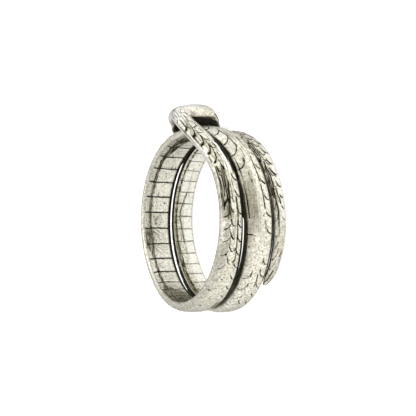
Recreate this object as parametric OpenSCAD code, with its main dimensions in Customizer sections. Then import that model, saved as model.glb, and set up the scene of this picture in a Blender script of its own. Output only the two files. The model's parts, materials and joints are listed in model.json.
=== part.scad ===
// Snake wrap ring: one silver casting, a snake that winds round the finger a little over two
// turns. It is drawn as it lies on a table, on the side of the tail, with the finger hole upwards.

/* [Finger] */
// Inside diameter of the coils, which is the ring size
bore_d = 17.8; // [16:0.1:20]

/* [Body] */
// How far the edge of a scale stands up from the back
scale_relief = 0.08; // [0.02:0.01:0.12]
// Length of one scale, as an angle round the ring
scale_pitch = 9; // [9:3:18]
// Narrowing of the flat belly against the widest part of the body
belly_share = 0.84; // [0.75:0.01:0.92]
// Height of the widest part of the body, as a share of its whole height
wide_share = 0.34; // [0.2:0.01:0.45]

/* [Head] */
// Length of the head from the end of the neck to the snout
head_l = 7.3; // [6.5:0.1:8]
// Angle at which the head lies across the coils, from the way that they run
head_turn = 48; // [35:1:55]
// Thickness of the cheeks at the hollow under the head
cheek_wall = 0.36; // [0.3:0.01:0.5]
// Distance between the lower edges of the cheeks, as a share of the head's breadth
cheek_share = 1.03; // [0.9:0.01:1.1]
// Diameter of an eye
eye_d = 0.75; // [0.5:0.05:0.9]

/* [How it lies] */
// Lean of the finger hole towards the near side of the coils, as the ring rests on its own
lean_near = 7.4; // [0:0.1:12]
// Lean of the finger hole towards the head
lean_head = 0.2; // [-4:0.1:4]

/* [Hidden] */

bore_r = bore_d / 2;
// Degrees of turn for one millimetre on the back of the coils
turn_per_mm = 360 / (2 * PI * (bore_r + 1.2));
// The belly is drawn this much too deep, and the finger hole then cuts it to the true cylinder.
// The neck rises from the bore, and from a lift of clear_lift on, its belly is drawn as it is.
belly_spare = 0.3;
clear_lift = 0.25;
// Exponent that makes the back fuller than a half ellipse
fullness = 0.78;
// Degrees of turn between two rings of points, on the coils and on the neck and head
coil_step = 3;
neck_step = 1.5;
neck_from = 45;
// Where the eyes sit: shares of the head's length, of half its width and of its roof's height
eye_share = 0.76;
eye_out = 0.74;
eye_up = 0.72;

// Columns of the table of the body and, with CHEEK, of the whole snake
TURN = 0;
AXIAL = 1;
LIFT = 2;
WIDTH = 3;
HEIGHT = 4;
CHEEK = 5;

// The body, from the end of the neck to the tip of the tail: turn in degrees from the top of the
// ring, place along the finger, lift of the belly over the bore, width, height
BODY = [
    [  1.0,  3.55, 2.00, 2.25, 1.02],
    [  7.0,  4.00, 1.42, 2.15, 1.10],
    [ 15.0,  3.85, 0.76, 2.20, 1.16],
    [ 30.0,  3.38, 0.25, 2.30, 1.22],
    [ 45.0,  2.72, 0.08, 2.40, 1.24],
    [ 60.0,  2.40, 0.02, 2.45, 1.24],
    [ 90.0,  2.24, 0.00, 2.45, 1.25],
    [135.0,  2.16, 0.00, 3.00, 1.20],
    [180.0,  2.32, 0.00, 3.35, 1.10],
    [225.0,  2.33, 0.00, 3.35, 1.00],
    [270.0,  2.39, 0.00, 3.42, 0.95],
    [315.0,  2.04, 0.00, 3.50, 1.00],
    [360.0,  1.00, 0.00, 3.52, 1.08],
    [405.0, -0.25, 0.00, 3.42, 1.16],
    [450.0, -0.98, 0.00, 3.25, 1.22],
    [495.0, -1.21, 0.00, 2.95, 1.22],
    [540.0, -1.12, 0.00, 2.70, 1.18],
    [585.0, -1.02, 0.00, 2.62, 1.03],
    [630.0, -0.80, 0.00, 2.45, 0.86],
    [675.0, -1.18, 0.00, 2.40, 0.72],
    [720.0, -2.09, 0.00, 2.20, 0.60],
    [765.0, -3.02, 0.00, 1.85, 0.54],
    [810.0, -3.58, 0.00, 1.48, 0.48],
    [840.0, -3.66, 0.00, 1.18, 0.42],
    [852.0, -3.62, 0.00, 0.95, 0.36],
    [857.0, -3.58, 0.00, 0.50, 0.24]
];

// Columns of the table of the head
SHARE = 0;
PALATE = 1;
BREADTH = 2;
ROOF = 3;
JOWL = 4;

// The head, from the snout back to the neck: share of its length, lift of the palate over the
// bore, breadth, height of the roof over the palate, depth of the cheeks under it
HEAD = [
    [1.00, 1.45, 0.70, 0.40, 0.00],
    [0.97, 1.33, 1.60, 0.78, 0.00],
    [0.90, 1.25, 2.70, 1.08, 0.05],
    [0.80, 1.45, 3.70, 1.25, 0.27],
    [0.68, 1.70, 4.60, 1.42, 0.52],
    [0.58, 1.85, 5.15, 1.55, 0.68],
    [0.50, 1.90, 5.25, 1.58, 0.40],
    [0.43, 1.93, 5.20, 1.58, 0.05],
    [0.34, 1.97, 4.95, 1.52, 0.00],
    [0.24, 2.00, 4.45, 1.42, 0.00],
    [0.12, 2.02, 3.35, 1.22, 0.00]
];

// The whole snake in one table: the head starts at the end of the neck and points across the coils
neck_end = BODY[0];
function head_turn_at(share) = neck_end[TURN] - share * head_l * cos(head_turn) * turn_per_mm;
function head_axial_at(share) = neck_end[AXIAL] - share * head_l * sin(head_turn);
SNAKE = concat(
    [for (h = HEAD) [head_turn_at(h[SHARE]), head_axial_at(h[SHARE]), h[PALATE], h[BREADTH], h[ROOF], h[JOWL]]],
    [for (b = BODY) concat(b, [0])]
);
last_row = len(SNAKE) - 1;

// The rows between which a turn lies
function row_below(t, i = 0) = i >= last_row - 1 || SNAKE[i + 1][TURN] > t ? i : row_below(t, i + 1);

// Slope of a column at a row, from the rows on both sides
function slope(i, c) =
    let (a = max(i - 1, 0), b = min(i + 1, last_row))
    (SNAKE[b][c] - SNAKE[a][c]) / (SNAKE[b][TURN] - SNAKE[a][TURN]);

// A column of the table at any turn: one smooth cubic from row to row
function at(t, c) =
    let (i = row_below(t), span = SNAKE[i + 1][TURN] - SNAKE[i][TURN], f = (t - SNAKE[i][TURN]) / span)
    SNAKE[i][c] * (1 + 2 * f) * pow(1 - f, 2) + slope(i, c) * span * f * pow(1 - f, 2)
    + SNAKE[i + 1][c] * f * f * (3 - 2 * f) + slope(i + 1, c) * span * f * f * (f - 1);

// A point of the ring from a turn, a place along the finger and a radius
function on_ring(t, axial, r) = [r * sin(t), r * cos(t), axial];

// Angle between the snake's own way and the way round the ring
function heading(t) = let (d = 0.5) atan2(at(t + d, AXIAL) - at(t - d, AXIAL), 2 * d / turn_per_mm);

// The scales begin on the neck, where they rise to their full height, and fade towards the tail.
// Past scales_across of the half width, the sides are smooth.
scales_from = 12;
scales_rise = 10;
scales_fade = 60;
scales_across = 0.9;
// How far the edge of a scale runs back from the middle of the back to the side, in scales
scale_v = 0.5;

// Sawtooth of the overlapping scales: it rises towards the tail and drops at each scale's edge,
// and the edges lie in wide V shapes across the back
function scale_step(t, across) =
    let (p = t / scale_pitch + scale_v * abs(across)) p - floor(p);
function relief(t, across) =
    t < scales_from || abs(across) > scales_across ? 0
    : scale_relief * scale_step(t, across)
      * min(1, (t - scales_from) / scales_rise) * min(1, (SNAKE[last_row][TURN] - t) / scales_fade);

// One cross-section: points [across, up] from the left edge of the belly over the back to the
// right edge, and back along the belly, or under the head's hollow roof
back_steps = 10;
function back_point(t, c, h, cheek, psi) =
    let (x = cos(psi), y = sin(psi))
    [c * sign(x) * pow(abs(x), fullness),
     (h + cheek) * (wide_share + (1 - wide_share) * pow(abs(y), fullness)) - cheek + relief(t, x)];
function section(t) =
    let (c = at(t, WIDTH) / 2, h = at(t, HEIGHT), cheek = max(0, at(t, CHEEK)),
         spare = belly_spare * min(1, max(0, (clear_lift - at(t, LIFT)) / (clear_lift - 0.05))),
         foot = (belly_share + (cheek_share - belly_share) * min(1, cheek / 0.3)) * c - spare / 6,
         bevel = max(0.95 * c, foot),
         low = -cheek - spare,
         inner = foot - min(cheek_wall, 0.4 * c),
         roof = -spare)
    concat(
        [[foot, low], [bevel, 0.12 * h - cheek]],
        [for (k = [0 : back_steps]) back_point(t, c, h, cheek, 180 * k / back_steps)],
        [[-bevel, 0.12 * h - cheek], [-foot, low], [-inner, low],
         [-0.75 * inner, roof], [0.75 * inner, roof], [inner, low]]
    );

// One ring of points of the snake's skin
function skin_ring(t) =
    let (h = heading(t), axial = at(t, AXIAL), r = bore_r + at(t, LIFT))
    [for (p = section(t)) on_ring(t - p[0] * sin(h) * turn_per_mm, axial + p[0] * cos(h), r + p[1])];

turns = concat(
    [for (t = [SNAKE[0][TURN] : neck_step : neck_from - 0.01]) t],
    [for (t = [neck_from : coil_step : SNAKE[last_row][TURN]]) t],
    [SNAKE[last_row][TURN]]
);
skin = [for (t = turns) skin_ring(t)];
around = len(skin[0]);

// The two ends are closed by fans round a middle point
snout = let (t = turns[0]) on_ring(t - 0.25 * turn_per_mm, at(t, AXIAL) - 0.25, bore_r + at(t, LIFT) + 0.18);
tail = let (t = turns[len(turns) - 1]) on_ring(t + 0.1 * turn_per_mm, at(t, AXIAL), bore_r + 0.05);
skin_points = concat([for (ring = skin, p = ring) p], [snout, tail]);
last_ring = (len(skin) - 1) * around;
skin_faces = concat(
    [for (i = [0 : len(skin) - 2], j = [0 : around - 1], half = [0, 1])
        let (a = i * around + j, b = i * around + (j + 1) % around)
        half == 0 ? [a, b, b + around] : [a, b + around, a + around]],
    [for (j = [0 : around - 1]) [(j + 1) % around, j, len(skin_points) - 2]],
    [for (j = [0 : around - 1]) [last_ring + j, last_ring + (j + 1) % around, len(skin_points) - 1]]
);

// How the ring lies: turned about its own axes until it rests on the side of the tail, and then
// moved until the lowest point is at nought and the ring is over the origin
function leaned(p) =
    let (y = p[1] * cos(lean_head) + p[2] * sin(lean_head), z = p[2] * cos(lean_head) - p[1] * sin(lean_head))
    [p[0] * cos(lean_near) - z * sin(lean_near), y, z * cos(lean_near) + p[0] * sin(lean_near)];
lying = [for (p = skin_points) leaned(p)];
lying_x = [for (p = lying) p[0]];
lying_y = [for (p = lying) p[1]];
lying_z = [for (p = lying) p[2]];
middle = [(min(lying_x) + max(lying_x)) / 2, (min(lying_y) + max(lying_y)) / 2, min(lying_z)];

module snake_skin() polyhedron(points = skin_points, faces = skin_faces, convexity = 8);

// An eye is a bead half sunk in the side of the head
module eye(side)
    let (t = head_turn_at(eye_share), c = at(t, WIDTH) / 2, h = heading(t), out = side * eye_out * c)
    translate(on_ring(t - out * sin(h) * turn_per_mm, at(t, AXIAL) + out * cos(h),
                      bore_r + at(t, LIFT) + eye_up * at(t, HEIGHT)))
        sphere(d = eye_d, $fn = 32);

module finger_hole() cylinder(h = 4 * bore_r, r = bore_r, center = true, $fn = 180);

module snake_ring() color("silver")
    translate(-middle)
        rotate([-lean_head, -lean_near, 0])
            difference() {
                union() {
                    snake_skin();
                    eye(1);
                    eye(-1);
                }
                finger_hole();
            }

snake_ring();
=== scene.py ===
# A snake wrap ring of cast silver, lying on its side on a pale table. It is dressed in the order in
# which it is made: the casting, the eyes, then the table, the light and the camera.
# Lengths in the sections are in millimetres and turns in degrees; the meshes are in metres.
import json
import math

import bpy
import numpy as np
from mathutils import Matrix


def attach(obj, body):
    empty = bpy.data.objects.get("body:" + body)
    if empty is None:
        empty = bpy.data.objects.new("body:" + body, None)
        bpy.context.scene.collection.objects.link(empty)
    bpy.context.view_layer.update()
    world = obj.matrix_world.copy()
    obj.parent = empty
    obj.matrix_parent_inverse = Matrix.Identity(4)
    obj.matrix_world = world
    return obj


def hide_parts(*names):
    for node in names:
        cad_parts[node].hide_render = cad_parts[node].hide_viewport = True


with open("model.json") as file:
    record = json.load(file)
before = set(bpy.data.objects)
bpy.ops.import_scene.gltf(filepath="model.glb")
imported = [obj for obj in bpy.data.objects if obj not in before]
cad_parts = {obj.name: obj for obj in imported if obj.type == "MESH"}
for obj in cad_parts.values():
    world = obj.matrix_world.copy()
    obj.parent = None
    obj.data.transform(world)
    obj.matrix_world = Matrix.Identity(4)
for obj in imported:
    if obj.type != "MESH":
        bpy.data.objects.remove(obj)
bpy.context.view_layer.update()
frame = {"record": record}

# The casting.
# A snake of sterling silver, lost-wax cast in one piece: back, belly, neck and the hood of its head.
# The wax was a rod, drawn thin at the tail, wound on a mandrel and bent across the coils at the neck.
# All its sizes follow the run from the head back.
bore = next(m for m in frame["record"]["mounts"] if m["name"] == "finger_bore")
bore_r = bore["dims"]["r_mm"]
bore_axis = np.array(bore["axis"])
# The mount lies in the middle of the finger hole's length, this far from the ring's own origin
mount_along = -0.049
ring_origin = 1000 * np.array(bore["pos_m"]) - mount_along * bore_axis
# Lengths along the run are measured on the back of the coils
wall = 1.2
turn_per_mm = 360 / (2 * math.pi * (bore_r + wall))

# Turn from the top of the ring, place along the finger, lift of the belly over the bore, width, height
BODY = np.array([
    (1, 3.55, 2, 2.25, 1.02), (7, 4, 1.42, 2.15, 1.1), (15, 3.85, 0.76, 2.2, 1.16),
    (30, 3.38, 0.25, 2.3, 1.22), (45, 2.72, 0.08, 2.4, 1.24), (60, 2.4, 0.02, 2.45, 1.24),
    (90, 2.215, 0, 2.5, 1.25), (135, 2.14, 0, 3.04, 1.2), (180, 2.32, 0, 3.35, 1.1),
    (225, 2.34, 0, 3.33, 1), (270, 2.34, 0, 3.52, 0.95), (315, 1.99, 0, 3.6, 1),
    (360, 1, 0, 3.52, 1.08), (405, -0.25, 0, 3.42, 1.16), (450, -0.98, 0, 3.25, 1.22),
    (495, -1.17, 0, 3.03, 1.22), (540, -1.08, 0, 2.78, 1.18), (585, -1.02, 0, 2.62, 1.03),
    (630, -0.84, 0, 2.37, 0.86), (675, -1.22, 0, 2.32, 0.72), (720, -2.09, 0, 2.2, 0.6),
    (765, -3.02, 0, 1.85, 0.54), (810, -3.58, 0, 1.48, 0.48), (840, -3.66, 0, 1.18, 0.42),
    (853, -3.62, 0, 1, 0.36), (860.5, -3.56, 0, 0.5, 0.24),
])

# Share of the head's length from the neck, lift of the palate, breadth, height of the roof, depth of
# the cheeks
HEAD = np.array([
    (1, 1.45, 0.7, 0.4, 0), (0.97, 1.33, 1.6, 0.78, 0), (0.9, 1.25, 2.7, 1.08, 0.05),
    (0.8, 1.45, 3.7, 1.25, 0.27), (0.68, 1.7, 4.6, 1.48, 0.52), (0.58, 1.85, 5.15, 1.66, 0.68),
    (0.5, 1.9, 5.25, 1.71, 0.4), (0.43, 1.93, 5.2, 1.71, 0.05), (0.34, 1.97, 4.95, 1.62, 0),
    (0.24, 2, 4.45, 1.46, 0), (0.12, 2.02, 3.35, 1.24, 0),
])
# The head's length, and the angle at which it lies across the coils
head_l = 7.3
head_turn = math.radians(48)
neck_turn, neck_axial = BODY[0, :2]
head_turns = neck_turn - HEAD[:, 0] * head_l * math.cos(head_turn) * turn_per_mm
head_axials = neck_axial - HEAD[:, 0] * head_l * math.sin(head_turn)
SNAKE = np.vstack([
    np.column_stack([head_turns, head_axials, HEAD[:, 1:]]),
    np.column_stack([BODY, np.zeros(len(BODY))]),
])
AXIAL, LIFT, WIDTH, HEIGHT, CHEEK = range(1, 6)
tail_end = BODY[-1, 0]
# The head reaches over this many degrees of the ring
head_reach = neck_turn - SNAKE[0, 0]


def at(turn, column):
    """A column of the snake's table at any turn: a cubic from row to row, whose slope at each row is
    that of the line between the rows before and after it."""
    rows = SNAKE[:, 0]
    before = np.maximum(np.arange(len(rows)) - 1, 0)
    after = np.minimum(np.arange(len(rows)) + 1, len(rows) - 1)
    value = SNAKE[:, column]
    slope = (value[after] - value[before]) / (rows[after] - rows[before])
    i = np.clip(np.searchsorted(rows, turn, side="right") - 1, 0, len(rows) - 2)
    span = rows[i + 1] - rows[i]
    f = (turn - rows[i]) / span
    return (value[i] * (1 + 2 * f) * (1 - f) ** 2 + slope[i] * span * f * (1 - f) ** 2
            + value[i + 1] * f * f * (3 - 2 * f) + slope[i + 1] * span * f * f * (f - 1))


def on_snake(turn, across, up):
    """Points in metres on the table, from a turn, a distance across the snake's own way and a height
    over its belly. The way makes the angle atan(rise along the finger / length round the ring), and
    the point lies on the circle of radius bore + lift + height, never inside the bore."""
    step = 0.5
    way = np.arctan2(at(turn + step, AXIAL) - at(turn - step, AXIAL), 2 * step / turn_per_mm)
    t = np.radians(turn - across * np.sin(way) * turn_per_mm)
    r = np.maximum(bore_r, bore_r + at(turn, LIFT) + up)
    ring = np.stack([r * np.sin(t), r * np.cos(t), at(turn, AXIAL) + across * np.cos(way)], axis=-1)
    return laid(ring)


def laid(points):
    """Turns points of the ring about its X and Y axes, so that the finger hole gets the mount's axis,
    and moves them to the mount's place: millimetres of the ring in, metres of the table out."""
    lean_head = math.asin(bore_axis[1])
    lean_near = math.atan2(-bore_axis[0], bore_axis[2])
    x, y, z = np.moveaxis(points, -1, 0)
    y, z = (y * math.cos(lean_head) + z * math.sin(lean_head),
            z * math.cos(lean_head) - y * math.sin(lean_head))
    x, z = (x * math.cos(lean_near) - z * math.sin(lean_near),
            z * math.cos(lean_near) + x * math.sin(lean_near))
    return (np.stack([x, y, z], axis=-1) + ring_origin) / 1000


def ease(low, high, value):
    """Smooth step: 0 below low, 1 above high, and 3f^2 - 2f^3 between."""
    f = np.clip((value - low) / (high - low), 0, 1)
    return f * f * (3 - 2 * f)


def stretch(value, rise_from, rise_to, fall_from, fall_to):
    """1 on a stretch of the value and 0 beyond it: one smooth step up and a second one down."""
    return ease(rise_from, rise_to, value) * (1 - ease(fall_from, fall_to, value))


# Rings of points stand across the run, closer on the head and neck than on the coils
neck_foot = 60
head_rings = np.linspace(SNAKE[0, 0], neck_turn, 128, endpoint=False)
neck_rings = np.linspace(neck_turn, neck_foot, 132, endpoint=False)
coil_rings = np.linspace(neck_foot, tail_end, 1230)
turns = np.concatenate([head_rings, neck_rings, coil_rings])[:, None]

half = at(turns, WIDTH) / 2
height = at(turns, HEIGHT)
cheek = np.maximum(at(turns, CHEEK), 0)
# The belly is narrower than the back, less so towards the tail. Under the head it parts into two
# cheeks, which stand a little wider than the head once they are deep enough
belly_share = 0.84 + 0.06 * ease(540, 600, turns)
cheek_share, cheek_wall, cheek_deep = 1.03, 0.36, 0.3
foot = half * (belly_share + (cheek_share - belly_share) * np.minimum(1, cheek / cheek_deep))

# The back is a fuller half ellipse that stands on the widest part of the body, |cos psi|^fullness
# across and |sin psi|^fullness up; the head is rounder, and widest further down
back_points, side_points, belly_points = 38, 4, 20
rounder = ease(0.08, 0.34, (neck_turn - turns) / head_reach)
body_fullness, head_fuller, body_widest, head_lower = 0.78, 0.16, 0.34, 0.2
fullness, wide_share = body_fullness + head_fuller * rounder, body_widest - head_lower * rounder
# Its points are spread evenly over the back of a coil of the usual size
usual_half, usual_rise = 1.5, 0.73
psi_fine = np.linspace(0, math.pi, 400)
arc_x = np.sign(np.cos(psi_fine)) * np.abs(np.cos(psi_fine)) ** body_fullness
arc_y = np.sin(psi_fine) ** body_fullness
arc_steps = np.hypot(usual_half * np.diff(arc_x), usual_rise * np.diff(arc_y))
arc = np.concatenate([[0], np.cumsum(arc_steps)])
psi = np.interp(np.linspace(0, arc[-1], back_points), arc, psi_fine)
# Place across the back: 1 at its near-head side, 0 on the ridge, -1 at the tail side
back_place = np.linspace(1, -1, back_points)[None, :]
back_x = half * np.sign(np.cos(psi)) * np.abs(np.cos(psi)) ** fullness
back_y = (height + cheek) * (wide_share + (1 - wide_share) * np.abs(np.sin(psi)) ** fullness) - cheek

# Each side is a parabola from the foot of the belly to the widest part, with a slight swell
side = (np.arange(side_points) / side_points)[None, :]
side_swell = 0.04
wide_x = np.maximum(half, foot)
side_x = (1 - side) ** 2 * foot + 2 * side * (1 - side) * wide_x + side ** 2 * half
side_y = side ** 2 * wide_share * (height + cheek) + side * (1 - side) * side_swell * height - cheek

# The belly runs flat from foot to foot, and under the head it is a hollow between the cheeks, whose
# arch is (1 - |x|^3)^(1/3) high at the share x of its half breadth. Near the snout the cheeks are thin
belly_place = np.linspace(-1, 1, belly_points + 2)[None, 1:-1]
thickest_share = 0.4
inner = foot - np.minimum(cheek_wall, thickest_share * half)
arch = (1 - np.abs(np.clip(belly_place * foot / inner, -1, 1)) ** 3) ** (1 / 3)
belly_x = belly_place * foot
belly_y = -cheek + cheek * arch

across = np.hstack([side_x, back_x, -side_x[:, ::-1], belly_x])
up = np.hstack([side_y, back_y, side_y[:, ::-1], belly_y])
turn_grid = np.broadcast_to(turns, across.shape)
# On the sides the place runs on to 1.2 and -1.2, where the belly starts
side_run_on = 0.2
place = np.hstack([
    1 + side_run_on - side_run_on * side, back_place, -1 - side_run_on * side,
    np.zeros((1, belly_points)),
]) * np.ones_like(across)
on_back = np.zeros(across.shape, bool)
on_back[:, side_points:side_points + back_points] = True
on_belly = np.zeros(across.shape, bool)
on_belly[:, -belly_points:] = True

# Where each point lies on the skin: its place across the back or the belly, 1 at the near-head edge
# and -1 at the tail edge, and its lengths along and across
belly_places = np.hstack([np.zeros((1, 2 * side_points + back_points)), belly_place])
belly_places = belly_places * np.ones_like(across)
side_place = np.where(on_belly, belly_places, place)
# In two stretches of the gap between the coils a wall stands out: the near-head wall of the second
# coil, which ends in a step and runs on lower, and the tail wall of the first coil
head_wall_out, runs_on_out, tail_wall_out = 0.17, 0.04, 0.15
head_bulge = head_wall_out * stretch(turns, 426, 444, 447.5, 449.5)
head_bulge = head_bulge + runs_on_out * stretch(turns, 444, 460, 484, 500)
tail_bulge = tail_wall_out * stretch(turns, 310, 316, 332, 346)
bulge_from, bulge_run = 0.86, 0.14
across = across + head_bulge * np.clip((side_place - bulge_from) / bulge_run, 0, 1) * ~on_belly
across = across - tail_bulge * np.clip((-side_place - bulge_from) / bulge_run, 0, 1)
# Half the breadth of the skin, down its sides too, turns a place into a length
skin_half = np.where(on_belly, foot, half + 0.5 * height)
steps_mm = np.hypot(np.diff(turns[:, 0]) / turn_per_mm, np.diff(at(turns[:, 0], AXIAL)))
run_mm = np.concatenate([[0], np.cumsum(steps_mm)])
along_mm = run_mm[:, None] * np.ones_like(across)
across_mm = side_place * skin_half

# Three rows of scales lie on the back like shingles, their ends towards the tail. Each row's table:
# turn, number of scale ends from the neck, place of the tips, place where the flanks end, how many
# scales the flanks lag behind the tips, how far the scale goes on past its tip, as a share of the flank
LEFT_ROW = np.array([
    (-30, -5, 0.7, 0.3, 1, 0.22), (12, 0, 0.72, 0.3, 1.2, 0.22), (20.6, 1, 0.78, 0.34, 1.3, 0.22),
    (28.7, 2, 0.7, 0.3, 1.4, 0.22), (45, 4, 0.67, 0.28, 1.4, 0.22), (52.9, 5, 0.64, 0.28, 1, 0.22),
    (61, 6, 0.7, 0.2, 0.6, 0.22), (81, 8, 0.7, 0.26, 0.4, 0.22), (103.5, 11, 0.62, 0.26, 0.4, 0.22),
    (139, 15, 0.7, 0.4, 0.4, 0.3), (175, 19, 0.66, 0.34, 0.5, 0.9), (200, 21.5, 0.64, 0.3, 0.6, 0.65),
    (350, 37.4, 0.64, 0.3, 0.6, 0.65), (384.5, 41, 0.64, 0, 0.9, 0.22),
    (396, 42, 0.66, 0.12, 0.8, 0.22), (417.5, 44, 0.64, 0.16, 0.5, 0.22),
    (459, 48, 0.66, 0.24, 0.4, 0.22), (489, 51, 0.66, 0.24, 0.5, 0.22), (508, 53, 0.62, 0.24, 0.5, 0.3),
    (560, 59, 0.62, 0.28, 0.6, 1), (740, 79.7, 0.62, 0.28, 0.6, 1), (777, 84, 0.74, 0.44, 0.5, 0.4),
    (812, 88, 0.7, 0.3, 0.6, 0.3), (821, 89, 0.68, 0.12, 0.7, 0.3), (829.5, 90, 0.68, 0.08, 0.7, 0.3),
    (845, 92, 0.62, 0.1, 0.7, 0.4), (852.5, 93, 0.66, 0.06, 0.7, 0.6), (857, 94, 0.6, 0, 0.7, 0.6),
    (870, 96.6, 0.6, 0, 0.6, 0.6),
])
MIDDLE_ROW = np.array([
    (-30, -4, 0.1, 0.3, 0.5, 0.22), (28.9, 2, 0.06, 0.34, 0.2, 0.22), (58, 5.6, 0.06, 0.28, 0.4, 0.22),
    (86, 9, 0, 0.28, 0.6, 0.22), (109.7, 12, 0, 0.28, 0.6, 0.22), (139, 15.5, 0, 0.28, 0.6, 0.22),
    (200, 22, 0, 0.3, 0.6, 1), (350, 37.9, 0, 0.3, 0.6, 1), (384.5, 41, 0, 0.26, 0.6, 0.22),
    (459, 48, 0, 0.26, 0.6, 0.22), (514, 53, 0, 0.28, 0.6, 0.22), (560, 59.5, 0, 0.3, 0.6, 1),
    (740, 80.2, 0, 0.3, 0.6, 1), (777, 84.5, -0.04, 0.26, 0.6, 0.3),
    (829.5, 90.5, -0.04, 0.26, 0.6, 0.3), (870, 96, 0, 0.26, 0.6, 0.3),
])
RIGHT_ROW = np.array([
    (-30, -3.5, -0.56, -0.24, 0.4, 0.22), (66.3, 6, -0.52, -0.2, 0.4, 0.22),
    (87, 8, -0.56, -0.24, 0.4, 0.22), (95, 9, -0.54, -0.24, 0.4, 0.22),
    (146, 15, -0.54, -0.22, 0.4, 0.22), (200, 21.5, -0.64, -0.3, 0.6, 1),
    (350, 37.4, -0.64, -0.3, 0.6, 1), (384.5, 40.8, -0.54, -0.3, 0.4, 0.3),
    (418.5, 44, -0.54, -0.3, 0.3, 0.22), (459, 48, -0.56, -0.3, 0.25, 0.22),
    (478.5, 50, -0.56, -0.28, 0.3, 0.22), (505, 53, -0.58, -0.24, 0.5, 0.22),
    (560, 59, -0.62, -0.28, 0.6, 1), (740, 79.7, -0.62, -0.28, 0.6, 1),
    (772, 83, -0.4, 0.06, 0.4, 0.22), (782, 84.2, -0.44, 0, 0.6, 0.22),
    (789, 85, -0.52, -0.2, 0.25, 0.22), (817.5, 89, -0.58, -0.22, 0.25, 0.22),
    (870, 96, -0.56, -0.22, 0.3, 0.22),
])
# How sharp the scales still are, as the ring has worn: turn, left row, middle row, right row
WEAR = np.array([
    (-30, 0, 0, 0), (4, 0, 0, 0), (14, 0.3, 0, 0), (24, 0.8, 0, 0), (54, 1, 0.3, 0.2),
    (62, 0.3, 0.5, 1), (76, 0.4, 0.5, 1), (86, 1, 0.9, 1), (98, 1, 1, 1), (112, 0.8, 1, 1),
    (122, 0.7, 0.2, 1), (131, 0.4, 0.1, 0.9), (148, 0.1, 0.1, 0.6), (165, 0, 0, 0.2),
    (200, 0.8, 0.8, 0.8), (350, 0.9, 0.9, 0.9), (376, 1, 0.2, 0.3), (395, 1, 0, 0.2), (418, 1, 0, 0.8),
    (424, 0.1, 0, 1), (446, 0.1, 0, 1), (451, 0.7, 0, 1), (455, 0, 0, 1), (462, 0, 0, 1),
    (468, 0, 0, 0.1), (476, 0.1, 0, 0.8), (484, 0.9, 0, 0.9), (508, 0.8, 0.3, 0.8),
    (530, 0.1, 0.1, 0.1), (560, 0.8, 0.8, 0.8), (740, 0.9, 0.8, 0.8), (770, 0.7, 0.7, 0.9),
    (800, 0.9, 0.4, 0.9), (810, 0.6, 0, 0.5), (820, 0, 0, 0.3), (858, 0, 0, 0), (870, 0, 0, 0),
])


def scale_row(table, wear):
    """Number, sharpness and length of the scale under each point in one row. The number is the row's
    own, plus lag * |u|^2.2 that bends the flanks back, where u is the share of the way from the tips
    to the flank's end; a scale that goes on far past its tip is bent on that side too. A scale ends
    where the number is whole. It is sharp from u = -past to 1, and fades over 0.2 of u at both ends.
    Its length is 1 / (how fast the number grows for each millimetre over the skin)."""
    number, tip, flank_end, lag, past = [
        np.interp(turn_grid, table[:, 0], table[:, column]) for column in range(1, 6)]
    sharp = np.interp(turn_grid, WEAR[:, 0], WEAR[:, wear])
    grows_along = np.gradient(number, axis=0) / np.gradient(along_mm, axis=0)
    u = (place - tip) / (flank_end - tip)
    bend = np.clip(np.abs(u), 0, 1)
    number = number + lag * bend ** 2.2 * ((u > 0) | (past > 0.5))
    grows_across = 2.2 * lag * bend ** 1.2 / ((flank_end - tip) * skin_half)
    length = 1 / np.hypot(grows_along, grows_across)
    return number, sharp * on_back * stretch(u, -past, 0.22 - past, 0.92, 1.12), length


rows_of_scales = [
    scale_row(table, wear) for wear, table in enumerate((LEFT_ROW, MIDDLE_ROW, RIGHT_ROW), start=1)]
counts, sharpness, lengths = np.moveaxis(np.array(rows_of_scales), 0, -1)

# The head bears shields instead. They lie in rows, 0 to 4, whose borders cross it at these shares of
# its length, bowed forwards, and each row is parted at its own places
head_share = (neck_turn - turn_grid) / head_reach
border_bow, border_back = 0.1, 0.02
bowed_share = head_share + border_bow * place ** 2 - border_back
row_borders = [0.3, 0.46, 0.62, 0.8, 0.9, 0.98]
shield_row = np.interp(bowed_share, row_borders, np.arange(-1.0, 5.0))
partings = (
    (-0.9, -0.52, 0.0, 0.52, 0.9), (-0.84, -0.3, 0.0, 0.3, 0.84), (-0.8, -0.24, 0.24, 0.8),
    (-0.74, -0.36, 0.0, 0.36, 0.74), (-0.7, 0.0, 0.7),
)
shield_column = np.zeros_like(place)
for row, parting in enumerate(partings):
    in_row = np.floor(shield_row) == row - 1
    shield_column = np.where(in_row, np.interp(place, parting, np.arange(len(parting))), shield_column)
on_head = on_back * ease(0.44, 0.5, head_share)
shields_shown = on_head * (1 - ease(0.7, 0.8, np.abs(place))) * (1 - ease(0.955, 0.975, bowed_share))
# The mouth is a line low on each side, and rises a little towards both of its ends; its number is the
# distance from it in millimetres
mouth_place, mouth_bow, mouth_middle = 0.93, 0.1, 0.6
mouth = (np.abs(side_place) - mouth_place + mouth_bow * (head_share - mouth_middle) ** 2) * skin_half
head_part = turn_grid < neck_turn
mouth_shown = (np.abs(place) > 0.5) * ease(0.36, 0.44, head_share) * head_part
# On the head these take the place of the three rows: number, how far it shows, length in millimetres
head_lines = (
    (shield_row, shields_shown, 1.0), (shield_column, shields_shown, 1.1), (mouth, mouth_shown, 1.0),
)
head_sharpness = 0.9
for column, (number, shown, length) in enumerate(head_lines):
    counts[..., column] = np.where(head_part, number, counts[..., column])
    sharpness[..., column] = np.where(head_part, shown * head_sharpness, sharpness[..., column])
    lengths[..., column] = np.where(head_part, length, lengths[..., column])
# Between its borders each shield swells like a pillow
pillow_rise = 0.07
pillow = (np.sin(math.pi * (shield_row - np.floor(shield_row)))
          * np.sin(math.pi * (shield_column - np.floor(shield_column))))
pillow = pillow_rise * shields_shown * np.sqrt(np.clip(pillow, 0, 1))


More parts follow.
